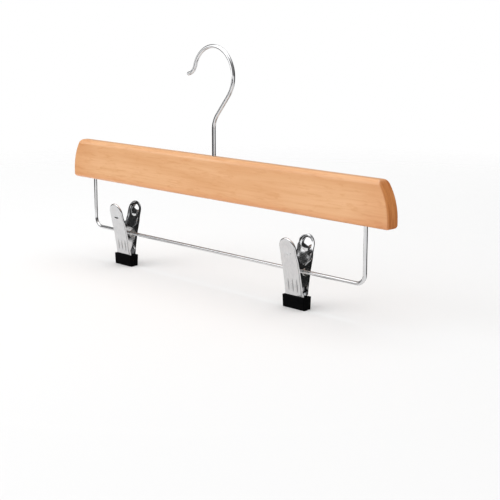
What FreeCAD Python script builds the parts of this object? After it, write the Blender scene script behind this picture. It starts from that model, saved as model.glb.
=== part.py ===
import FreeCAD, Part
import math
import os

# A wooden skirt hanger with a swivel hook and two spring clips that slide on a wire rail.
# Millimetres. +X runs along the bar, -Y is the front, +Z is up.
# The origin is the middle of the hook's round bend, where the wardrobe rod sits.

# General clearances
CUT_OVERRUN = 4.0
RUNNING_CLEARANCE = 0.06
GLUE_GAP = 0.05
SAME_PLACE = 0.01
SAME_DIRECTION = 1e-6

# Wooden bar
BAR_LENGTH = 355.0
BAR_HEIGHT = 33.0
BAR_THICKNESS = 11.0
BAR_EDGE_RADIUS = 1.2
BAR_BOTTOM_CORNER_RADIUS = 2.6
BAR_TOP_CORNER_RADIUS = 4.0
BAR_END_STRAIGHT = 6.0
BAR_END_CURVE_RADIUS = 42.0
COUNTERBORE_DEPTH = 6.0

# Swivel hook
HOOK_WIRE = 3.0
HOOK_BEND_RADIUS = 22.0
HOOK_CENTRE_ABOVE_BAR = 60.8
HOOK_LEAN_ANGLE = 40.0
HOOK_NECK_RADIUS = 17.0
HOOK_TIP_START_ANGLE = 163.0
HOOK_TIP_RADIUS = 8.0
HOOK_TIP_TURN = 58.0
HOOK_TIP_LENGTH = 2.0
HOOK_HEAD_RADIUS = 2.7
HOOK_HEAD_HEIGHT = 1.5
HOOK_HEAD_TAPER_SHARE = 0.6
HOOK_END_PLAY = 0.1

# Washer under the bar
WASHER_RADIUS = 4.0
WASHER_THICKNESS = 1.0
WASHER_SIDE_CLEARANCE = 0.3

# Clip rail
RAIL_WIRE = 2.8
RAIL_LEG_INSET = 23.5
RAIL_DROP = 41.5
RAIL_CORNER_RADIUS = 7.5
RAIL_LEG_SOCKET = 14.0

# Clips: where they stand on the rail, and the hollow rivet each one turns on
LEFT_CLIP_FROM_LEG = 41.5
RIGHT_CLIP_FROM_LEG = 64.7
RIVET_WALL = 0.45
RIVET_HEAD_RADIUS = 3.0
RIVET_HEAD_THICKNESS = 0.5
RIVET_END_PLAY = 0.1

# Clip jaws, one stamping used four times; heights are from the rail's middle line
JAW_SHEET = 0.6
JAW_ABOVE_RAIL = 25.4
JAW_BELOW_RAIL = 26.8
JAW_PADDLE_WIDTH = 16.0
JAW_WAIST_WIDTH = 17.2
JAW_MOUTH_WIDTH = 19.2
JAW_KNEE_DEPTH = 6.6
JAW_UPPER_LEAN = 14.0
JAW_LOWER_LEAN = 9.0
JAW_LIP_DEPTH = 1.6
JAW_BEND_RADIUS = 1.0
JAW_KNEE_RADIUS = 60.0
JAW_SIDE_CURVE_RADIUS = 20.0
JAW_PADDLE_ROOT = 14.0
JAW_NESTING_GAP = 0.25
EAR_RADIUS = 4.0
EAR_ROOT_ABOVE = 8.0
EAR_ROOT_BELOW = 14.5
DIMPLE_RADIUS = 5.0
DIMPLE_DEPTH = 0.9
FLUTE_COUNT = 3
FLUTE_SPACING = 4.4
FLUTE_RADIUS = 1.5
FLUTE_RISE = 0.5
FLUTE_TOP_BELOW_RAIL = 4.5
FLUTE_LENGTH = 11.0

# Rubber tips
TIP_HEIGHT = 9.3
TIP_BELOW_JAW = 1.2
TIP_SIDE_WALL = 1.2
TIP_FRONT_WALL = 1.1
TIP_NOSE_LEAN = 3.5
TIP_CLOSING_GAP = 0.3
TIP_EDGE_RADIUS = 0.8
TIP_GROOVE_RADIUS = 0.5
TIP_GROOVE_COUNT = 3

# Torsion springs
SPRING_WIRE = 1.1
SPRING_COIL_RADIUS = 3.3
SPRING_FULL_TURNS = 5
SPRING_PITCH = 1.9
SPRING_LEG_HEIGHT = 12.0
SPRING_SEAT_GAP = 0.3
SPRING_GAP_SAMPLES_PER_TURN = 48

# Places worked out from the sizes above
BAR_TOP = -HOOK_CENTRE_ABOVE_BAR
BAR_BOTTOM = BAR_TOP - BAR_HEIGHT
RAIL_LEVEL = BAR_BOTTOM - RAIL_DROP
RAIL_LEG_X = BAR_LENGTH / 2 - RAIL_LEG_INSET
HOOK_RADIUS = HOOK_WIRE / 2
RAIL_RADIUS = RAIL_WIRE / 2
WASHER_TOP = BAR_BOTTOM + COUNTERBORE_DEPTH
WASHER_BOTTOM = WASHER_TOP - WASHER_THICKNESS
RIVET_BORE = RAIL_RADIUS + RUNNING_CLEARANCE
RIVET_RADIUS = RIVET_BORE + RIVET_WALL
RIM_TEST_SHARES = (0.1, 0.5, 0.9)
JAW_SIDE_SHIFT = (JAW_SHEET + JAW_NESTING_GAP) / 2
JAW_UPPER_SLOPE = math.tan(math.radians(JAW_UPPER_LEAN))
JAW_LOWER_SLOPE = math.tan(math.radians(JAW_LOWER_LEAN))
SHEET_ACROSS = JAW_SHEET / math.cos(math.radians(JAW_UPPER_LEAN))
PADDLE_ROUND_HEIGHT = JAW_ABOVE_RAIL - JAW_PADDLE_WIDTH / 2


def point(x, y, z):
    return FreeCAD.Vector(x, y, z)


X_AXIS = point(1, 0, 0)
Y_AXIS = point(0, 1, 0)
Z_AXIS = point(0, 0, 1)


def line(start, end):
    return Part.LineSegment(start, end).toShape()


def arc(start, middle, end):
    return Part.Arc(start, middle, end).toShape()


def polygon_face(corners):
    return Part.Face(Part.makePolygon(corners + corners[:1]))


def rounded_run(corners, radius):
    """Edges along a run of points, with every inner bend rounded by an arc of one radius."""
    edges = []
    start = corners[0]
    for before, corner, after in zip(corners, corners[1:], corners[2:]):
        back = (before - corner).normalize()
        ahead = (after - corner).normalize()
        if math.pi - back.getAngle(ahead) < SAME_DIRECTION:
            continue
        half_angle = back.getAngle(ahead) / 2
        tangent = radius / math.tan(half_angle)
        centre = corner + (back + ahead).normalize() * (radius / math.sin(half_angle))
        arc_start = corner + back * tangent
        arc_end = corner + ahead * tangent
        edges.append(line(start, arc_start))
        edges.append(arc(arc_start, centre + (corner - centre).normalize() * radius, arc_end))
        start = arc_end
    edges.append(line(start, corners[-1]))
    return edges


def biarc(start, start_way, end, end_way):
    """Two arcs that join two points with given unit directions, meeting smoothly half way."""
    gap = end - start
    if max(start_way.getAngle(gap), end_way.getAngle(gap)) < SAME_DIRECTION:
        return [line(start, end)]
    across = gap.dot(gap)
    along = 2 * gap.dot(start_way + end_way)
    turn = 2 * (1 - start_way.dot(end_way))
    reach = 2 * across / (along + math.sqrt(along * along + 4 * turn * across))
    start_handle = start + start_way * reach
    end_handle = end - end_way * reach
    meeting = (start_handle + end_handle) * 0.5
    edges = []
    for first, handle, last in ((start, start_handle, meeting), (meeting, end_handle, end)):
        chord = last - first
        half_turn = math.acos(chord.Length / 2 / reach)
        middle = (first + last) * 0.5
        sagitta = (handle - middle).normalize() * (chord.Length / 2 * math.tan(half_turn / 2))
        edges.append(arc(first, middle + sagitta, last))
    return edges


def round_wire(edges, radius, start, direction):
    """A solid round wire of one radius along a chain of edges."""
    path = Part.Wire(edges)
    section = Part.Wire(Part.makeCircle(radius, start, direction))
    return path.makePipeShell([section], True, False)


def hook_point(radius, angle):
    """A point round the hook's bend, counted in degrees from +X towards +Z."""
    turn = math.radians(angle)
    return point(radius * math.cos(turn), 0, radius * math.sin(turn))


def make_bar():
    half = BAR_LENGTH / 2
    shoulder = BAR_BOTTOM + BAR_END_STRAIGHT
    rise = BAR_TOP - shoulder
    inset = BAR_END_CURVE_RADIUS - math.sqrt(BAR_END_CURVE_RADIUS ** 2 - rise ** 2)
    half_turn = math.asin(rise / BAR_END_CURVE_RADIUS) / 2
    bow = BAR_END_CURVE_RADIUS * (1 - math.cos(half_turn))
    bow_height = shoulder + BAR_END_CURVE_RADIUS * math.sin(half_turn)
    front = -BAR_THICKNESS / 2

    def at(x, z):
        return point(x, front, z)

    outline = Part.Wire([
        line(at(-half, BAR_BOTTOM), at(half, BAR_BOTTOM)),
        line(at(half, BAR_BOTTOM), at(half, shoulder)),
        arc(at(half, shoulder), at(half - bow, bow_height), at(half - inset, BAR_TOP)),
        line(at(half - inset, BAR_TOP), at(inset - half, BAR_TOP)),
        arc(at(inset - half, BAR_TOP), at(bow - half, bow_height), at(-half, shoulder)),
        line(at(-half, shoulder), at(-half, BAR_BOTTOM)),
    ])
    bar = Part.Face(outline).extrude(Y_AXIS * BAR_THICKNESS)

    # The four corners are rounded first, so that the long edges then round in one sweep.
    for level, reach, radius in (
        (BAR_BOTTOM, half, BAR_BOTTOM_CORNER_RADIUS),
        (BAR_TOP, half - inset, BAR_TOP_CORNER_RADIUS),
    ):
        corners = [
            edge for edge in bar.Edges
            if all(
                abs(v.Z - level) < SAME_PLACE and abs(abs(v.X) - reach) < SAME_PLACE for v in edge.Vertexes)
            and edge.Length > BAR_THICKNESS - SAME_PLACE
        ]
        bar = bar.makeFillet(radius, corners)
    rims = [
        edge for edge in bar.Edges
        if all(abs(abs(v.Y) - BAR_THICKNESS / 2) < SAME_PLACE for v in edge.Vertexes)
        and edge.BoundBox.YLength < SAME_PLACE
    ]
    bar = bar.makeFillet(BAR_EDGE_RADIUS, rims)

    bore = Part.makeCylinder(
        HOOK_RADIUS + RUNNING_CLEARANCE, BAR_HEIGHT + 2 * CUT_OVERRUN, point(0, 0, BAR_BOTTOM - CUT_OVERRUN))
    counterbore = Part.makeCylinder(
        WASHER_RADIUS + WASHER_SIDE_CLEARANCE, COUNTERBORE_DEPTH + CUT_OVERRUN,
        point(0, 0, BAR_BOTTOM - CUT_OVERRUN))
    sockets = [
        Part.makeCylinder(
            RAIL_RADIUS + GLUE_GAP, RAIL_LEG_SOCKET + CUT_OVERRUN, point(x, 0, BAR_BOTTOM - CUT_OVERRUN))
        for x in (-RAIL_LEG_X, RAIL_LEG_X)
    ]
    return bar.cut([bore, counterbore] + sockets)


def make_hook():
    lean = math.radians(HOOK_LEAN_ANGLE)
    bend_end = hook_point(HOOK_BEND_RADIUS, -HOOK_LEAN_ANGLE)
    down_lean = point(-math.sin(lean), 0, -math.cos(lean))
    neck_level = bend_end.z - bend_end.x / math.tan(lean)
    neck_tangent = HOOK_NECK_RADIUS * math.tan(lean / 2)
    neck_corner = point(0, 0, neck_level)
    neck_top = neck_corner - down_lean * neck_tangent
    neck_bottom = point(0, 0, neck_level - neck_tangent)
    neck_centre = point(HOOK_NECK_RADIUS, 0, neck_bottom.z)
    neck_middle = neck_centre + point(-math.cos(lean / 2), 0, math.sin(lean / 2)) * HOOK_NECK_RADIUS

    bend_start = hook_point(HOOK_BEND_RADIUS, HOOK_TIP_START_ANGLE)
    bend_middle = hook_point(HOOK_BEND_RADIUS, (HOOK_TIP_START_ANGLE - HOOK_LEAN_ANGLE) / 2)

    # The tip turns outwards about a centre on the far side of the wire.
    tip_centre = hook_point(HOOK_BEND_RADIUS + HOOK_TIP_RADIUS, HOOK_TIP_START_ANGLE)
    away = HOOK_TIP_START_ANGLE - 180

    def tip_point(turn):
        angle = math.radians(away - turn)
        return tip_centre + point(math.cos(angle), 0, math.sin(angle)) * HOOK_TIP_RADIUS

    tip_bend_end = tip_point(HOOK_TIP_TURN)
    last_turn = math.radians(away - HOOK_TIP_TURN)
    outwards = point(math.sin(last_turn), 0, -math.cos(last_turn))
    tip_end = tip_bend_end + outwards * HOOK_TIP_LENGTH

    shank_end = point(0, 0, WASHER_BOTTOM - HOOK_END_PLAY - HOOK_HEAD_HEIGHT)
    wire = round_wire([
        line(shank_end, neck_bottom),
        arc(neck_bottom, neck_middle, neck_top),
        line(neck_top, bend_end),
        arc(bend_end, bend_middle, bend_start),
        arc(bend_start, tip_point(HOOK_TIP_TURN / 2), tip_bend_end),
        line(tip_bend_end, tip_end),
    ], HOOK_RADIUS, shank_end, Z_AXIS)
    rounded_end = Part.makeSphere(HOOK_RADIUS, tip_end)

    # The end of the shank is headed over under the washer.
    head_low_radius = HOOK_HEAD_RADIUS * HOOK_HEAD_TAPER_SHARE
    head = Part.makeCone(head_low_radius, HOOK_HEAD_RADIUS, HOOK_HEAD_HEIGHT, shank_end, Z_AXIS)
    return wire.fuse([rounded_end, head]).removeSplitter()


def make_washer():
    at = point(0, 0, WASHER_BOTTOM)
    disc = Part.makeCylinder(WASHER_RADIUS, WASHER_THICKNESS, at)
    return disc.cut(Part.makeCylinder(HOOK_RADIUS + RUNNING_CLEARANCE, WASHER_THICKNESS, at))


def make_rail():
    leg_top = BAR_BOTTOM + RAIL_LEG_SOCKET
    corner_level = RAIL_LEVEL + RAIL_CORNER_RADIUS
    corner_x = RAIL_LEG_X - RAIL_CORNER_RADIUS
    middle_x = corner_x + RAIL_CORNER_RADIUS * math.sqrt(0.5)
    middle_level = corner_level - RAIL_CORNER_RADIUS * math.sqrt(0.5)

    def at(x, z):
        return point(x, 0, z)

    start = at(-RAIL_LEG_X, leg_top)
    return round_wire([
        line(start, at(-RAIL_LEG_X, corner_level)),
        arc(at(-RAIL_LEG_X, corner_level), at(-middle_x, middle_level), at(-corner_x, RAIL_LEVEL)),
        line(at(-corner_x, RAIL_LEVEL), at(corner_x, RAIL_LEVEL)),
        arc(at(corner_x, RAIL_LEVEL), at(middle_x, middle_level), at(RAIL_LEG_X, corner_level)),
        line(at(RAIL_LEG_X, corner_level), at(RAIL_LEG_X, leg_top)),
    ], RAIL_RADIUS, start, -Z_AXIS)


def jaw_face_y(z):
    """Where the front jaw's outer face stands at a height above or below the rail."""
    slope = JAW_UPPER_SLOPE if z > 0 else JAW_LOWER_SLOPE
    return -(JAW_KNEE_DEPTH + z * slope)


def jaw_outline(inset, bottom):
    """The jaw seen from the front, drawn in by a wall, as a block that runs front to back."""
    mouth = JAW_MOUTH_WIDTH / 2 - inset
    waist = JAW_WAIST_WIDTH / 2 - inset
    paddle = JAW_PADDLE_WIDTH / 2 - inset
    back = jaw_face_y(JAW_ABOVE_RAIL) - CUT_OVERRUN

    def at(x, z):
        return point(x + JAW_SIDE_SHIFT, back, z)

    lower_side = ((mouth, bottom), (waist, -EAR_ROOT_BELOW), (waist, EAR_ROOT_ABOVE))
    right = [at(x, z) for x, z in lower_side]
    left = [at(-x, z) for x, z in reversed(lower_side)]
    edges = [line(left[-1], right[0])]
    edges += rounded_run(right, JAW_SIDE_CURVE_RADIUS)
    edges += biarc(right[-1], Z_AXIS, at(paddle, JAW_PADDLE_ROOT), Z_AXIS)
    round_right = at(paddle, PADDLE_ROUND_HEIGHT)
    round_left = at(-paddle, PADDLE_ROUND_HEIGHT)
    edges += [line(at(paddle, JAW_PADDLE_ROOT), round_right)]
    edges += [arc(round_right, at(0, PADDLE_ROUND_HEIGHT + paddle), round_left)]
    edges += [line(round_left, at(-paddle, JAW_PADDLE_ROOT))]
    edges += biarc(at(-paddle, JAW_PADDLE_ROOT), -Z_AXIS, left[0], -Z_AXIS)
    edges += rounded_run(left, JAW_SIDE_CURVE_RADIUS)
    return Part.Face(Part.Wire(edges)).extrude(Y_AXIS * (EAR_RADIUS - back + CUT_OVERRUN))


def across_jaw(face):
    """Stretch a side-view face across more than the whole width of a jaw."""
    width = JAW_MOUTH_WIDTH + 2 * CUT_OVERRUN
    moved = face.copy()
    moved.translate(point(-width / 2, 0, 0))
    return moved.extrude(X_AXIS * width)


def behind_jaw_face(depth):
    """Everything that lies behind the jaw's outer face by more than a depth."""
    top = JAW_ABOVE_RAIL + CUT_OVERRUN
    bottom = -JAW_BELOW_RAIL - CUT_OVERRUN
    back = EAR_RADIUS + CUT_OVERRUN
    run = [point(0, jaw_face_y(z) + depth, z) for z in (top, 0, bottom)]
    low, high = point(0, back, bottom), point(0, back, top)
    edges = rounded_run(run, JAW_KNEE_RADIUS)
    edges += [line(run[-1], low), line(low, high), line(high, run[0])]
    return across_jaw(Part.Face(Part.Wire(edges)))


def ear_side_view():
    """The ear seen from the side: a round end about the rail, with straight flanks down to the jaw."""
    flank_points = []
    for z, side in ((-EAR_ROOT_BELOW, 1), (EAR_ROOT_ABOVE, -1)):
        y = jaw_face_y(z) + JAW_LIP_DEPTH
        reach = math.hypot(y, z)
        angle = math.atan2(z, y) + side * math.acos(EAR_RADIUS / reach)
        touch = point(0, EAR_RADIUS * math.cos(angle), EAR_RADIUS * math.sin(angle))
        flank_points.append((point(0, y, z), touch))
    (low_root, low_touch), (high_root, high_touch) = flank_points
    far = point(0, EAR_RADIUS, 0)
    in_sheet = JAW_SHEET / 2
    low_face = point(0, jaw_face_y(low_root.z) + in_sheet, low_root.z)
    high_face = point(0, jaw_face_y(high_root.z) + in_sheet, high_root.z)
    knee = point(0, jaw_face_y(0) + in_sheet, 0)
    return Part.Face(Part.Wire([
        line(knee, low_face), line(low_face, low_root), line(low_root, low_touch),
        arc(low_touch, far, high_touch),
        line(high_touch, high_root), line(high_root, high_face), line(high_face, knee),
    ]))


def lip_side_view():
    """The strip that the jaw's sheet and its turned-in lip take up, seen from the side."""
    heights = (JAW_ABOVE_RAIL, 0, -JAW_BELOW_RAIL)
    outside = [point(0, jaw_face_y(z), z) for z in heights]
    inside = [point(0, jaw_face_y(z) + JAW_LIP_DEPTH, z) for z in reversed(heights)]
    edges = rounded_run(outside, JAW_KNEE_RADIUS) + [line(outside[-1], inside[0])]
    edges += rounded_run(inside, JAW_KNEE_RADIUS) + [line(inside[-1], outside[0])]
    return Part.Face(Part.Wire(edges))


def jaw_rim_edges(shell):
    """The edges round the outer face of a jaw, apart from its straight lower end."""
    rim = []
    for edge in shell.Edges:
        first, last = edge.ParameterRange
        places = [edge.valueAt(first + (last - first) * share) for share in RIM_TEST_SHARES]
        on_face = all(abs(place.y - jaw_face_y(place.z)) < JAW_SHEET / 2 for place in places)
        across_mouth = all(place.z < SAME_PLACE - JAW_BELOW_RAIL for place in places)
        level = all(abs(place.z - places[0].z) < SAME_PLACE for place in places)
        if on_face and not across_mouth and not level:
            rim.append(edge)
    return rim


def jaw_flute(index, radius):
    """One upright flute of the lower panel, as a bowed rod whose ends sink behind the outer face."""
    lean = math.radians(JAW_LOWER_LEAN)
    inwards = point(0, math.cos(lean), math.sin(lean))
    down = point(0, math.sin(lean), -math.cos(lean))
    half = FLUTE_LENGTH / 2
    bow_radius = (half ** 2 + FLUTE_RISE ** 2) / (2 * FLUTE_RISE)
    x = (index - (FLUTE_COUNT - 1) / 2) * FLUTE_SPACING + JAW_SIDE_SHIFT
    middle_z = -FLUTE_TOP_BELOW_RAIL - half * math.cos(lean)
    bow_centre = point(x, jaw_face_y(middle_z), middle_z) + inwards * (bow_radius - FLUTE_RISE)
    half_turn = math.asin((half + JAW_SHEET) / bow_radius)

    def along(turn):
        way = down * math.sin(turn) - inwards * math.cos(turn)
        return bow_centre + way * (bow_radius - FLUTE_RADIUS)

    start_way = down * math.cos(half_turn) - inwards * math.sin(half_turn)
    bow = arc(along(-half_turn), along(0), along(half_turn))
    return round_wire([bow], radius, along(-half_turn), start_way)


def make_jaw():
    """The front jaw about the rail's middle line: a stamped sheet with lips, ears, dimple and flutes."""
    side = across_jaw(lip_side_view()).fuse(across_jaw(ear_side_view()))
    shell = jaw_outline(0, -JAW_BELOW_RAIL).common(side).removeSplitter()
    shell = shell.makeFillet(JAW_BEND_RADIUS, jaw_rim_edges(shell))
    hollow = jaw_outline(JAW_SHEET, -JAW_BELOW_RAIL - CUT_OVERRUN).common(behind_jaw_face(SHEET_ACROSS))
    jaw = shell.cut(hollow)

    # The thumb dimple in the paddle's round end is a hollow outside and a swelling inside.
    lean = math.radians(JAW_UPPER_LEAN)
    ball_radius = (DIMPLE_RADIUS ** 2 + DIMPLE_DEPTH ** 2) / (2 * DIMPLE_DEPTH)
    outwards = point(0, -math.cos(lean), -math.sin(lean))
    face_point = point(JAW_SIDE_SHIFT, jaw_face_y(PADDLE_ROUND_HEIGHT), PADDLE_ROUND_HEIGHT)
    ball_centre = face_point + outwards * (ball_radius - DIMPLE_DEPTH)
    swelling = Part.makeSphere(ball_radius + JAW_SHEET, ball_centre).common(behind_jaw_face(0))
    jaw = jaw.fuse(swelling).cut(Part.makeSphere(ball_radius, ball_centre))

    # The flutes stand out in front, are hollow behind and run out into the sheet at both ends.
    lip_side = behind_jaw_face(SHEET_ACROSS)
    ridges = [jaw_flute(index, FLUTE_RADIUS).cut(lip_side) for index in range(FLUTE_COUNT)]
    grooves = [jaw_flute(index, FLUTE_RADIUS - JAW_SHEET) for index in range(FLUTE_COUNT)]
    jaw = jaw.fuse(ridges).cut(grooves)

    width = JAW_WAIST_WIDTH + 2 * CUT_OVERRUN
    hole = Part.makeCylinder(RIVET_RADIUS + RUNNING_CLEARANCE, width, point(-width / 2, 0, 0), X_AXIS)
    return jaw.cut(hole).removeSplitter()


def make_tip(jaw):
    """The rubber sleeve on the front jaw's lower end, with grip grooves across its closing face."""
    bottom = -JAW_BELOW_RAIL - TIP_BELOW_JAW
    top = bottom + TIP_HEIGHT
    half = JAW_MOUTH_WIDTH / 2 + TIP_SIDE_WALL
    closing = -TIP_CLOSING_GAP / 2
    nose_top = jaw_face_y(top) - TIP_FRONT_WALL
    nose_bottom = nose_top + TIP_HEIGHT * math.tan(math.radians(TIP_NOSE_LEAN))
    start = JAW_SIDE_SHIFT - half
    side = polygon_face([
        point(start, nose_top, top), point(start, nose_bottom, bottom),
        point(start, closing, bottom), point(start, closing, top),
    ])
    block = side.extrude(X_AXIS * (2 * half))
    outer_edges = [
        edge for edge in block.Edges
        if edge.BoundBox.YMax < closing - SAME_PLACE and edge.BoundBox.ZMin < top - SAME_PLACE
    ]
    block = block.makeFillet(TIP_EDGE_RADIUS, outer_edges)
    step = TIP_HEIGHT / (TIP_GROOVE_COUNT + 1)
    grooves = [
        Part.makeCylinder(
            TIP_GROOVE_RADIUS, 2 * half + 2 * CUT_OVERRUN,
            point(start - CUT_OVERRUN, closing, bottom + step * (index + 1)), X_AXIS)
        for index in range(TIP_GROOVE_COUNT)
    ]
    return block.cut(grooves).cut(jaw)


def make_rivet():
    """The hollow rivet: a tube on the rail with a flared head outside each pair of ears."""
    inner_face = JAW_WAIST_WIDTH / 2 + JAW_SIDE_SHIFT + RIVET_END_PLAY
    end = inner_face + RIVET_HEAD_THICKNESS
    tube = Part.makeCylinder(RIVET_RADIUS, 2 * end, point(-end, 0, 0), X_AXIS)
    heads = [
        Part.makeCylinder(RIVET_HEAD_RADIUS, RIVET_HEAD_THICKNESS, point(x, 0, 0), X_AXIS)
        for x in (-end, inner_face)
    ]
    bore = Part.makeCylinder(RIVET_BORE, 2 * end + 2 * CUT_OVERRUN, point(-end - CUT_OVERRUN, 0, 0), X_AXIS)
    return tube.fuse(heads).cut(bore).removeSplitter()


def make_spring():
    """A torsion spring round the rivet, whose two legs press the paddles apart."""
    seat = jaw_face_y(SPRING_LEG_HEIGHT) + SHEET_ACROSS + SPRING_SEAT_GAP
    wire_radius = SPRING_WIRE / 2
    leg_y = seat + wire_radius / math.cos(math.radians(JAW_UPPER_LEAN))
    distance = math.hypot(leg_y, SPRING_LEG_HEIGHT)
    leg_lean = math.atan2(-leg_y, SPRING_LEG_HEIGHT) - math.asin(SPRING_COIL_RADIUS / distance)
    leg_length = math.sqrt(distance ** 2 - SPRING_COIL_RADIUS ** 2)
    sweep = math.pi - 2 * leg_lean + 2 * math.pi * SPRING_FULL_TURNS
    half_length = SPRING_PITCH * sweep / (4 * math.pi)
    rise = SPRING_PITCH / (2 * math.pi)

    def coil_point(turned):
        angle = -leg_lean - turned
        return point(
            half_length - rise * turned,
            SPRING_COIL_RADIUS * math.cos(angle), SPRING_COIL_RADIUS * math.sin(angle))

    def coil_way(turned):
        angle = -leg_lean - turned
        return point(
            -rise, SPRING_COIL_RADIUS * math.sin(angle), -SPRING_COIL_RADIUS * math.cos(angle)).normalize()

    steps = math.ceil(sweep / math.pi)
    turns = [sweep * step / steps for step in range(steps + 1)]
    rear_end = coil_point(0) - coil_way(0) * leg_length
    front_end = coil_point(sweep) + coil_way(sweep) * leg_length
    edges = [line(rear_end, coil_point(0))]
    for before, after in zip(turns, turns[1:]):
        edges += biarc(coil_point(before), coil_way(before), coil_point(after), coil_way(after))
    edges.append(line(coil_point(sweep), front_end))

    # The least gap between turns, measured on points at least half a turn apart.
    count = math.ceil(sweep / (2 * math.pi) * SPRING_GAP_SAMPLES_PER_TURN)
    samples = [coil_point(sweep * index / count) for index in range(count + 1)]
    apart = SPRING_GAP_SAMPLES_PER_TURN // 2
    least = min(
        samples[i].distanceToPoint(samples[j])
        for i in range(len(samples)) for j in range(i + apart, len(samples)))
    print("spring: least gap between turns %.2f mm" % (least - SPRING_WIRE))
    return round_wire(edges, wire_radius, rear_end, coil_way(0))


def save(shape, name):
    shape.exportStep("parts/" + name + ".step")
    print("%-18s valid %s solids %d volume %.1f" % (name, shape.isValid(), len(shape.Solids), shape.Volume))


def placed(shape, x):
    """A piece of a clip moved from the rail's middle line to its place on the rail."""
    moved = shape.copy()
    moved.translate(point(x, 0, RAIL_LEVEL))
    return moved


def turned_round(shape):
    """The rear one of two identical pieces: the front one turned half a turn about the upright."""
    turned = shape.copy()
    turned.rotate(point(0, 0, 0), Z_AXIS, 180)
    return turned


os.makedirs("parts", exist_ok=True)
save(make_bar(), "wooden_bar")
save(make_hook(), "swivel_hook")
save(make_washer(), "hook_washer")
save(make_rail(), "clip_rail")

front_jaw = make_jaw()
front_tip = make_tip(front_jaw)
clip_pieces = {
    "front_jaw": front_jaw,
    "rear_jaw": turned_round(front_jaw),
    "front_tip": front_tip,
    "rear_tip": turned_round(front_tip),
    "pivot": make_rivet(),
    "spring": make_spring(),
}
for clip, clip_x in (("left", LEFT_CLIP_FROM_LEG - RAIL_LEG_X), ("right", RAIL_LEG_X - RIGHT_CLIP_FROM_LEG)):
    for piece, shape in clip_pieces.items():
        save(placed(shape, clip_x), clip + "_" + piece)
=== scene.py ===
import math

import bmesh
import bpy
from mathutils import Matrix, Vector


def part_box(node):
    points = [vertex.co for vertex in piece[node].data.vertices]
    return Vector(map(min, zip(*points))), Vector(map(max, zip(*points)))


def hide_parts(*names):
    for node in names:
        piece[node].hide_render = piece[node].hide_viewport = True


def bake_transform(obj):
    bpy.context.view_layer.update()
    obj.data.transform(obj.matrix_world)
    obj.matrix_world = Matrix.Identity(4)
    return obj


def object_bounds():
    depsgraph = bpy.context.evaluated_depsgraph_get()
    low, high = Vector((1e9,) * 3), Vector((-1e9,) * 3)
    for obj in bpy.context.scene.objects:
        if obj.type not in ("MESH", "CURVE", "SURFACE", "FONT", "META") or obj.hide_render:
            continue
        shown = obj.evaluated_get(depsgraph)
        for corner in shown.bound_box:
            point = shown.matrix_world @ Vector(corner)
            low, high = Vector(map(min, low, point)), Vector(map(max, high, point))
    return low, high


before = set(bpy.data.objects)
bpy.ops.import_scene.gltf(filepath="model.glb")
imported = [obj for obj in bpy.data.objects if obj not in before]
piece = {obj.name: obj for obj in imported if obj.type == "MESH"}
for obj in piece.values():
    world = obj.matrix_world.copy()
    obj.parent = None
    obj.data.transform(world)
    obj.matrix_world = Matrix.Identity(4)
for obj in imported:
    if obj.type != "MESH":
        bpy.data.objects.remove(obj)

cad_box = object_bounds()

# Wooden bar
# The body of the hanger: one straight length of pale hardwood, sawn to a bow-ended outline, rounded over on a
# spindle, sanded and dipped in clear satin varnish. The end grain drinks more of it and goes brown, and
# painted shade deepens it further; painted shade also darkens the lower edge and the last few centimetres at
# each end.
WOOD_PALE = (0.900, 0.516, 0.260, 1)
WOOD_WARM = (0.790, 0.402, 0.178, 1)
WOOD_STREAK = (0.700, 0.300, 0.105, 1)
# The end grain's own browner colour, deepened by painted shade.
END_GRAIN_AND_SHADE_PALE = (0.770, 0.305, 0.088, 1)
END_GRAIN_AND_SHADE_DARK = (0.520, 0.150, 0.028, 1)
# Painted shade: the bar's colour darkens over this height towards its lower edge.
PAINTED_LOWER_SHADE_TINT = (0.90, 0.74, 0.62, 1)
PAINTED_LOWER_SHADE_HEIGHT = 0.0068
# Painted shade: the colour darkens over this length towards each end of the bar.
PAINTED_END_SHADE_TINT = (0.93, 0.85, 0.78, 1)
PAINTED_END_SHADE_LENGTH = 0.045
VARNISH_WEIGHT = 0.35
VARNISH_ROUGHNESS = 0.16
GRAIN_RELIEF = 0.0004


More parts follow.
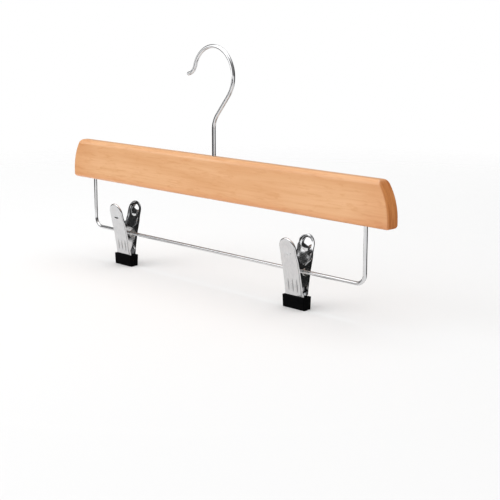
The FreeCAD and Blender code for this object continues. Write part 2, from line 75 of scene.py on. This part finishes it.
class Finish:
    """A surface finish in the making: its material, its shader, and short ways to add and join nodes."""

    def __init__(self, name):
        self.material = bpy.data.materials.new(name)
        self.material.use_nodes = True
        self.tree = self.material.node_tree
        self.shader = self.tree.nodes["Principled BSDF"]

    def add(self, kind, **settings):
        made = self.tree.nodes.new("ShaderNode" + kind)
        for key, value in settings.items():
            setattr(made, key, value)
        return made

    def join(self, source, target):
        self.tree.links.new(source, target)

    def fix(self, socket, value):
        """Set one of the shader's own values, the same all over."""
        self.shader.inputs[socket].default_value = value

    def paint(self, colour):
        self.join(colour, self.shader.inputs["Base Color"])

    def roughen(self, roughness):
        self.join(roughness, self.shader.inputs["Roughness"])

    def place(self, scale):
        """Coordinates in metres in the hanger's own frame, stretched by a scale for each axis."""
        where = self.add("TexCoord")
        stretch = self.add("Mapping")
        stretch.inputs["Scale"].default_value = scale
        self.join(where.outputs["Object"], stretch.inputs["Vector"])
        return stretch.outputs["Vector"]

    def noise(self, scale, detail=4.0, roughness=0.55, distortion=0.0):
        made = self.add("TexNoise")
        made.inputs["Scale"].default_value = 1.0
        made.inputs["Detail"].default_value = detail
        made.inputs["Roughness"].default_value = roughness
        made.inputs["Distortion"].default_value = distortion
        self.join(self.place(scale), made.inputs["Vector"])
        return made.outputs["Fac"]

    def ramp(self, source, *stops):
        made = self.add("ValToRGB")
        marks = made.color_ramp.elements
        while len(marks) < len(stops):
            marks.new(0.5)
        for mark, (position, colour) in zip(marks, stops):
            mark.position = position
            mark.color = colour if isinstance(colour, tuple) else (colour, colour, colour, 1)
        self.join(source, made.inputs["Fac"])
        return made.outputs["Color"]

    def mix(self, share, first, second, blend="MIX"):
        made = self.add("Mix", data_type="RGBA", blend_type=blend)
        for value, socket in ((share, made.inputs[0]), (first, made.inputs[6]), (second, made.inputs[7])):
            if isinstance(value, (int, float, tuple)):
                socket.default_value = value
            else:
                self.join(value, socket)
        return made.outputs[2]

    def bump(self, height, strength, distance):
        made = self.add("Bump")
        made.inputs["Strength"].default_value = strength
        made.inputs["Distance"].default_value = distance
        self.join(height, made.inputs["Height"])
        self.join(made.outputs["Normal"], self.shader.inputs["Normal"])

    def coat(self, *names):
        """Give this finish to carried-over pieces."""
        for name in names:
            piece[name].data.materials.clear()
            piece[name].data.materials.append(self.material)


varnished_wood = Finish("varnished_wood")
grain = varnished_wood.noise((9, 170, 170), detail=5, roughness=0.6, distortion=0.4)
figure = varnished_wood.noise((4, 38, 38), detail=3, distortion=1.2)
lines = varnished_wood.noise((20, 560, 560), detail=3, roughness=0.6, distortion=0.3)
flecks = varnished_wood.noise((75, 430, 430), detail=2, distortion=0.5)
pores = varnished_wood.noise((210, 2300, 2300), detail=2)
colour = varnished_wood.ramp(figure, (0.30, WOOD_WARM), (0.66, WOOD_PALE))
for streaks, starts, full, most in (
    (grain, 0.52, 0.78, 0.42),
    (lines, 0.50, 0.72, 0.40),
    (flecks, 0.54, 0.70, 0.45),
    (pores, 0.60, 0.72, 0.22),
):
    streak_share = varnished_wood.ramp(streaks, (starts, 0.0), (full, most))
    colour = varnished_wood.mix(streak_share, colour, WOOD_STREAK)

bar_low, bar_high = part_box("wooden_bar")
where = varnished_wood.add("SeparateXYZ")
varnished_wood.join(varnished_wood.place((1, 1, 1)), where.inputs["Vector"])
from_bar_middle = varnished_wood.add("Math", operation="ABSOLUTE")
varnished_wood.join(where.outputs["X"], from_bar_middle.inputs[0])
# Painted shade: the colour darkens towards the lower edge and towards both ends of the bar.
for distance, full, none, tint in (
    (where.outputs["Z"], bar_low.z, bar_low.z + PAINTED_LOWER_SHADE_HEIGHT, PAINTED_LOWER_SHADE_TINT),
    (from_bar_middle.outputs["Value"], bar_high.x, bar_high.x - PAINTED_END_SHADE_LENGTH, PAINTED_END_SHADE_TINT),
):
    painted_shade_share = varnished_wood.add("MapRange", interpolation_type="SMOOTHSTEP")
    painted_shade_share.inputs["From Min"].default_value = none
    painted_shade_share.inputs["From Max"].default_value = full
    varnished_wood.join(distance, painted_shade_share.inputs["Value"])
    colour = varnished_wood.mix(painted_shade_share.outputs["Result"], colour, tint, "MULTIPLY")

rings = varnished_wood.noise((60, 520, 46), detail=4, distortion=0.6)
specks = varnished_wood.noise((1500, 1500, 1500), detail=2)
speck_share = varnished_wood.ramp(specks, (0.52, 0.0), (0.66, 0.35))
end_grain_and_shade_colour = varnished_wood.ramp(rings, (0.35, END_GRAIN_AND_SHADE_DARK), (0.68, END_GRAIN_AND_SHADE_PALE))
end_grain_and_shade_colour = varnished_wood.mix(speck_share, end_grain_and_shade_colour, END_GRAIN_AND_SHADE_DARK)
surface = varnished_wood.add("TexCoord")
facing = varnished_wood.add("SeparateXYZ")
along = varnished_wood.add("Math", operation="ABSOLUTE")
varnished_wood.join(surface.outputs["Normal"], facing.inputs["Vector"])
varnished_wood.join(facing.outputs["X"], along.inputs[0])
# Faces turning towards the ends, and the rounded edges there, get the end grain colour with its painted
# shade.
end_grain_and_shade_share = varnished_wood.ramp(along.outputs["Value"], (0.30, 0.0), (0.85, 1.0))
varnished_wood.paint(varnished_wood.mix(end_grain_and_shade_share, colour, end_grain_and_shade_colour))
varnished_wood.roughen(varnished_wood.ramp(grain, (0.30, 0.34), (0.75, 0.46)))
varnished_wood.fix("Coat Weight", VARNISH_WEIGHT)
varnished_wood.fix("Coat Roughness", VARNISH_ROUGHNESS)
varnished_wood.bump(grain, 0.10, GRAIN_RELIEF)
varnished_wood.coat("wooden_bar")

# Swivel hook and clip rail
# Two lengths of drawn steel wire bent cold to shape and plated with bright chrome. The hook's shank turns in
# a bore through the bar and is headed over underneath; the rail's legs are driven into two blind holes.
WIRE_DULL = (0.64, 0.645, 0.655, 1)
WIRE_BRIGHT = (0.74, 0.74, 0.745, 1)

chrome_wire = Finish("chrome_wire")
cloud = chrome_wire.noise((90, 90, 90), detail=3)
drawn = chrome_wire.noise((2600, 2600, 2600), detail=2)
chrome_wire.paint(chrome_wire.ramp(cloud, (0.3, WIRE_DULL), (0.7, WIRE_BRIGHT)))
chrome_wire.roughen(chrome_wire.ramp(cloud, (0.3, 0.10), (0.7, 0.06)))
chrome_wire.fix("Metallic", 1.0)
chrome_wire.bump(drawn, 0.03, 0.0001)
chrome_wire.coat("swivel_hook", "clip_rail")

# Washer
# A small punched steel washer, dull zinc plated, that lies in the counterbore under the bar and takes the
# pull of the hook's headed end.
ZINC_DULL = (0.50, 0.50, 0.51, 1)
ZINC_BRIGHT = (0.66, 0.66, 0.665, 1)

zinc_plate = Finish("zinc_plate")
spangle = zinc_plate.noise((700, 700, 700), detail=3)
zinc_plate.paint(zinc_plate.ramp(spangle, (0.35, ZINC_DULL), (0.65, ZINC_BRIGHT)))
zinc_plate.roughen(zinc_plate.ramp(spangle, (0.3, 0.42), (0.7, 0.30)))
zinc_plate.fix("Metallic", 1.0)
zinc_plate.coat("hook_washer")

# Clip jaws
# Four like stampings of thin steel sheet with turned-in lips, ears for the rivet, a thumb dimple and three
# pressed flutes, barrel polished and plated with bright chrome. Two of them make a clip.
SHEET_DULL = (0.60, 0.605, 0.615, 1)
SHEET_BRIGHT = (0.70, 0.70, 0.705, 1)

chrome_sheet = Finish("chrome_sheet")
ripple = chrome_sheet.noise((75, 75, 75), detail=1)
scuff = chrome_sheet.noise((900, 900, 240), detail=3)
chrome_sheet.paint(chrome_sheet.ramp(scuff, (0.3, SHEET_DULL), (0.7, SHEET_BRIGHT)))
chrome_sheet.roughen(chrome_sheet.ramp(scuff, (0.3, 0.12), (0.7, 0.07)))
chrome_sheet.fix("Metallic", 1.0)
chrome_sheet.bump(ripple, 0.8, 0.0009)
chrome_sheet.coat("left_front_jaw", "left_rear_jaw", "right_front_jaw", "right_rear_jaw")

# Rubber tips
# Black rubber sleeves moulded to fit the jaws' lower ends, grooved across the gripping face so that cloth
# does not slip. They are pushed on and stay by their own stretch.
RUBBER_BLACK = (0.0015, 0.0015, 0.0018, 1)
RUBBER_BLOOM = (0.0036, 0.0036, 0.0040, 1)
RUBBER_SHINE = 0.015

black_rubber = Finish("black_rubber")
bloom = black_rubber.noise((220, 220, 220), detail=4)
skin = black_rubber.noise((3000, 3000, 3000), detail=2)
black_rubber.paint(black_rubber.ramp(bloom, (0.3, RUBBER_BLACK), (0.75, RUBBER_BLOOM)))
black_rubber.roughen(black_rubber.ramp(bloom, (0.3, 0.48), (0.7, 0.62)))
black_rubber.fix("Specular IOR Level", RUBBER_SHINE)
black_rubber.bump(skin, 0.15, 0.0001)
black_rubber.coat("left_front_tip", "left_rear_tip", "right_front_tip", "right_rear_tip")

# Hollow rivets
# A nickel plated tube rivet through the ears of each clip, flared over at both ends. It holds the two jaws
# and the spring together and runs along the rail.
NICKEL_DULL = (0.60, 0.59, 0.57, 1)
NICKEL_BRIGHT = (0.74, 0.73, 0.71, 1)

nickel_plate = Finish("nickel_plate")
wear = nickel_plate.noise((500, 500, 500), detail=3)
nickel_plate.paint(nickel_plate.ramp(wear, (0.3, NICKEL_DULL), (0.7, NICKEL_BRIGHT)))
nickel_plate.roughen(nickel_plate.ramp(wear, (0.3, 0.26), (0.7, 0.16)))
nickel_plate.fix("Metallic", 1.0)
nickel_plate.coat("left_pivot", "right_pivot")

# Torsion springs
# One spring of drawn steel wire in each clip, wound round the rivet. A straight leg at each end lies behind a
# paddle and presses the paddles apart, so that the rubber tips close. The legs' lean is in radians.
SPRING_WIRE_RADIUS = 0.00055
SPRING_COIL_RADIUS = 0.0033
SPRING_PITCH = 0.0019
SPRING_FULL_TURNS = 5
SPRING_LEG_LEAN = 0.3642
SPRING_LEG_LENGTH = 0.01410
SPRING_LEG_STEPS = 10
SPRING_STEPS_PER_TURN = 40
SPRING_SIDES = 14
SPRING_END_ROUND_ANGLES = (20, 45, 70)
STEEL_DARK = (0.40, 0.40, 0.41, 1)
STEEL_BRIGHT = (0.58, 0.58, 0.59, 1)

spring_steel = Finish("spring_steel")
die_marks = spring_steel.noise((2400, 2400, 2400), detail=3)
spring_steel.paint(spring_steel.ramp(die_marks, (0.3, STEEL_DARK), (0.7, STEEL_BRIGHT)))
spring_steel.roughen(spring_steel.ramp(die_marks, (0.3, 0.34), (0.7, 0.20)))
spring_steel.fix("Metallic", 1.0)


def spring_line(middle):
    """The middle line of the wire: the rear leg from its end, the coil, then the front leg to its end."""
    sweep = math.pi - 2 * SPRING_LEG_LEAN + 2 * math.pi * SPRING_FULL_TURNS
    half_length = SPRING_PITCH * sweep / (4 * math.pi)
    rise = SPRING_PITCH / (2 * math.pi)
    steps = round(sweep / (2 * math.pi) * SPRING_STEPS_PER_TURN)

    def on_coil(turned):
        angle = -SPRING_LEG_LEAN - turned
        across, up = SPRING_COIL_RADIUS * math.cos(angle), SPRING_COIL_RADIUS * math.sin(angle)
        return middle + Vector((half_length - rise * turned, across, up))

    def along_coil(turned):
        angle = -SPRING_LEG_LEAN - turned
        across, up = SPRING_COIL_RADIUS * math.sin(angle), -SPRING_COIL_RADIUS * math.cos(angle)
        return Vector((-rise, across, up)).normalized()

    legs = [step / SPRING_LEG_STEPS * SPRING_LEG_LENGTH for step in range(SPRING_LEG_STEPS, 0, -1)]
    line = [on_coil(0) - along_coil(0) * reach for reach in legs]
    line += [on_coil(sweep * step / steps) for step in range(steps + 1)]
    line += [on_coil(sweep) + along_coil(sweep) * reach for reach in reversed(legs)]
    return line, half_length


def wind_spring(name, line):
    """A round wire of one thickness along a line, with rounded ends."""
    made = bmesh.new()
    angles = [math.radians(angle) for angle in SPRING_END_ROUND_ANGLES]
    rounds = [(-math.cos(angle), math.sin(angle)) for angle in angles]
    start_way = (line[1] - line[0]).normalized()
    end_way = (line[-1] - line[-2]).normalized()
    stations = [(line[0] + start_way * (SPRING_WIRE_RADIUS * (1 + back)), width) for back, width in rounds]
    stations += [(point, 1.0) for point in line[1:-1]]
    stations += [
        (line[-1] - end_way * (SPRING_WIRE_RADIUS * (1 + back)), width) for back, width in reversed(rounds)]
    side_way = Vector((1, 0, 0))
    rings = []
    for index, (point, width) in enumerate(stations):
        before = stations[max(index - 1, 0)][0]
        after = stations[min(index + 1, len(stations) - 1)][0]
        ahead = (after - before).normalized()
        side_way = (side_way - ahead * side_way.dot(ahead)).normalized()
        up_way = ahead.cross(side_way)
        reach = SPRING_WIRE_RADIUS * width
        ring = []
        for corner in range(SPRING_SIDES):
            turn = 2 * math.pi * corner / SPRING_SIDES
            sideways, upward = side_way * (reach * math.cos(turn)), up_way * (reach * math.sin(turn))
            ring.append(made.verts.new(point + sideways + upward))
        rings.append(ring)
    for first, second in zip(rings, rings[1:]):
        for corner in range(SPRING_SIDES):
            following = (corner + 1) % SPRING_SIDES
            made.faces.new((first[corner], first[following], second[following], second[corner]))
    made.faces.new(list(reversed(rings[0])))
    made.faces.new(rings[-1])
    bmesh.ops.recalc_face_normals(made, faces=made.faces)
    for face in made.faces:
        face.smooth = True
    mesh = bpy.data.meshes.new(name)
    made.to_mesh(mesh)
    made.free()
    mesh.materials.append(spring_steel.material)
    spring = bpy.data.objects.new(name, mesh)
    bpy.context.scene.collection.objects.link(spring)
    return spring


for side in ("left", "right"):
    low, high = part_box(side + "_pivot")
    middle = (low + high) / 2
    line, half_length = spring_line(middle)
    spring = wind_spring(side + "_wound_spring", line)
    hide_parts(side + "_spring")
    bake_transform(spring)

# Floor
# A wide pale matt sheet that the clips stand on. It fades out with distance, so that no edge or horizon
# shows. A little glow, seen only by the camera and in mirrors, keeps it as white as the room.
FLOOR_HALF = 2.2
FLOOR_WHITE = (0.86, 0.86, 0.86, 1)
FLOOR_ROUGHNESS = 0.9
FLOOR_SHINE = 0.1
FLOOR_GLOW = 0.045
FLOOR_FADE_STARTS, FLOOR_FADE_ENDS = 0.32, 0.95

floor_level = cad_box[0].z
floor_mesh = bpy.data.meshes.new("floor")
floor_mesh.from_pydata([
    (-FLOOR_HALF, -FLOOR_HALF, floor_level), (FLOOR_HALF, -FLOOR_HALF, floor_level),
    (FLOOR_HALF, FLOOR_HALF, floor_level), (-FLOOR_HALF, FLOOR_HALF, floor_level)], [], [(0, 1, 2, 3)])
floor = bpy.data.objects.new("floor", floor_mesh)
bpy.context.scene.collection.objects.link(floor)
pale_sheet = Finish("pale_sheet")
pale_sheet.fix("Base Color", FLOOR_WHITE)
pale_sheet.fix("Roughness", FLOOR_ROUGHNESS)
pale_sheet.fix("Specular IOR Level", FLOOR_SHINE)
pale_sheet.fix("Emission Color", (1, 1, 1, 1))
sight = pale_sheet.add("LightPath")
in_mirrors = pale_sheet.add("Math", operation="MAXIMUM")
seen = pale_sheet.add("Math", operation="MAXIMUM")
glowing = pale_sheet.add("Math", operation="MULTIPLY")
glowing.inputs[1].default_value = FLOOR_GLOW
pale_sheet.join(sight.outputs["Is Glossy Ray"], in_mirrors.inputs[0])
pale_sheet.join(sight.outputs["Is Transmission Ray"], in_mirrors.inputs[1])
pale_sheet.join(sight.outputs["Is Camera Ray"], seen.inputs[0])
pale_sheet.join(in_mirrors.outputs["Value"], seen.inputs[1])
pale_sheet.join(seen.outputs["Value"], glowing.inputs[0])
pale_sheet.join(glowing.outputs["Value"], pale_sheet.shader.inputs["Emission Strength"])
from_floor_middle = pale_sheet.add("VectorMath", operation="LENGTH")
pale_sheet.join(pale_sheet.place((1, 1, 0)), from_floor_middle.inputs[0])
fade = pale_sheet.ramp(from_floor_middle.outputs["Value"], (FLOOR_FADE_STARTS, 0.0), (FLOOR_FADE_ENDS, 1.0))
clear = pale_sheet.add("BsdfTransparent")
both = pale_sheet.add("MixShader")
pale_sheet.join(fade, both.inputs["Fac"])
pale_sheet.join(pale_sheet.shader.outputs["BSDF"], both.inputs[1])
pale_sheet.join(clear.outputs["BSDF"], both.inputs[2])
pale_sheet.join(both.outputs["Shader"], pale_sheet.tree.nodes["Material Output"].inputs["Surface"])
floor_mesh.materials.append(pale_sheet.material)

# Mirror cards
# Five dark cards stand on the floor round the hanger, and grey ones lie in front of and behind each clip.
# Only bright metal and varnish see them: they draw the dark lines along the wires, across the bent sheet and
# beside its flutes. The two low ones leave a gap in which the hanger swivels.
LYING_GREY = 0.42
LYING_LEFT, LYING_RIGHT = 0.010, 0.035
LYING_NEAR, LYING_FAR = 0.012, 0.120
LYING_LIFT = 0.0002


def mirror_card(name, corners, grey):
    """A flat matt card that is seen only in mirrors and throws no shade."""
    card_mesh = bpy.data.meshes.new(name)
    card_mesh.from_pydata(corners, [], [(0, 1, 2, 3)])
    matt_card = Finish(name)
    matt_card.fix("Base Color", (grey, grey, grey, 1))
    matt_card.fix("Roughness", 1.0)
    matt_card.fix("Specular IOR Level", 0.0)
    card_mesh.materials.append(matt_card.material)
    card = bpy.data.objects.new(name, card_mesh)
    bpy.context.scene.collection.objects.link(card)
    card.visible_camera = False
    card.visible_diffuse = False
    card.visible_shadow = False
    card.visible_transmission = False


for name, foot, height, grey in (
    ("left_card", ((-0.52, 0.12), (-0.11, -0.50)), 0.124, 0.03),
    ("front_card", ((-0.06, -0.50), (0.30, -0.44)), 0.110, 0.02),
    ("right_card", ((-0.15, 0.52), (0.49, 0.14)), 0.300, 0.012),
    ("left_low_card", ((-0.14, 0.05), (-0.03, 0.05)), 0.065, 0.02),
    ("right_low_card", ((0.03, 0.05), (0.32, 0.05)), 0.065, 0.02),
):
    (from_x, from_y), (to_x, to_y) = foot
    top = floor_level + height
    mirror_card(name, [
        (from_x, from_y, floor_level), (to_x, to_y, floor_level),
        (to_x, to_y, top), (from_x, from_y, top)], grey)

for side in ("left", "right"):
    low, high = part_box(side + "_pivot")
    middle = (low + high) / 2
    card_level = floor_level + LYING_LIFT
    for end, way in (("front", -1), ("back", 1)):
        inner, outer = middle.x + way * LYING_LEFT, middle.x - way * LYING_RIGHT
        near, far = middle.y + way * LYING_NEAR, middle.y + way * LYING_FAR
        mirror_card(side + "_" + end + "_lying_card", [
            (inner, far, card_level), (outer, far, card_level),
            (outer, near, card_level), (inner, near, card_level)], LYING_GREY)

# Studio light
# A white room whose walls look dim in bright metal above the height of the view, with a large soft lamp from
# the front left and a second one overhead.
ROOM_FILL = 0.60
WALL_SHADE = 0.24

world = bpy.data.worlds.new("white_room")
bpy.context.scene.world = world
world.use_nodes = True
room = world.node_tree
room.nodes.clear()


def room_node(kind, **settings):
    made = room.nodes.new("ShaderNode" + kind)
    for key, value in settings.items():
        setattr(made, key, value)
    return made


way_out = room_node("TexCoord")
height_of_way = room_node("SeparateXYZ")
room.links.new(way_out.outputs["Generated"], height_of_way.inputs["Vector"])
walls = room_node("ValToRGB")
for share, strength in ((0.47, 1.0), (0.52, WALL_SHADE), (0.80, WALL_SHADE), (0.90, 1.0)):
    mark = walls.color_ramp.elements.new(share)
    mark.color = (strength, strength, strength, 1)
walls.color_ramp.elements[0].color = (1, 1, 1, 1)
walls.color_ramp.elements[-1].color = (1, 1, 1, 1)
half_up = room_node("MapRange")
half_up.inputs["From Min"].default_value = -1.0
room.links.new(height_of_way.outputs["Z"], half_up.inputs["Value"])
room.links.new(half_up.outputs["Result"], walls.inputs["Fac"])
ray = room_node("LightPath")
mirrored = room_node("Math", operation="MAXIMUM")
room.links.new(ray.outputs["Is Glossy Ray"], mirrored.inputs[0])
room.links.new(ray.outputs["Is Transmission Ray"], mirrored.inputs[1])
off_camera = room_node("Mix", data_type="FLOAT")
off_camera.inputs[2].default_value = ROOM_FILL
room.links.new(mirrored.outputs["Value"], off_camera.inputs[0])
room.links.new(walls.outputs["Color"], off_camera.inputs[3])
brightness = room_node("Mix", data_type="FLOAT")
brightness.inputs[3].default_value = 1.0
room.links.new(ray.outputs["Is Camera Ray"], brightness.inputs[0])
room.links.new(off_camera.outputs[0], brightness.inputs[2])
glow = room_node("Background")
glow.inputs["Color"].default_value = (1, 1, 1, 1)
room.links.new(brightness.outputs[0], glow.inputs["Strength"])
room.links.new(glow.outputs["Background"], room_node("OutputWorld").inputs["Surface"])

hanger_middle = (cad_box[0] + cad_box[1]) / 2
for name, place, size, power in (
    ("front_left_lamp", Vector((-0.95, -1.45, 0.75)), 1.9, 16.5),
    ("overhead_lamp", Vector((-0.10, 0.10, 1.60)), 1.8, 15.0),
):
    lamp = bpy.data.lights.new(name, "AREA")
    lamp.shape = "SQUARE"
    lamp.size = size
    lamp.energy = power
    holder = bpy.data.objects.new(name, lamp)
    holder.location = place
    holder.rotation_euler = (hanger_middle - place).to_track_quat("-Z", "Y").to_euler()
    bpy.context.scene.collection.objects.link(holder)

# Camera
# It stands in front and to the right, a little above the bar, with a short telephoto lens. Its turn to the
# left and its tilt down are in degrees, its lens and sensor in millimetres.
CAMERA_PLACE = (0.66167, -0.58832, 0.04999)
CAMERA_TILT = 11.746
CAMERA_TURN = 46.576
LENS_LENGTH = 83.797
SENSOR_WIDTH = 36.0

camera = bpy.data.cameras.new("camera")
camera.sensor_width = SENSOR_WIDTH
camera.lens = LENS_LENGTH
camera_holder = bpy.data.objects.new("camera", camera)
camera_holder.location = CAMERA_PLACE
camera_holder.rotation_euler = (math.radians(90 - CAMERA_TILT), 0, math.radians(CAMERA_TURN))
bpy.context.scene.collection.objects.link(camera_holder)
bpy.context.scene.camera = camera_holder
bpy.context.scene.view_settings.view_transform = "Standard"
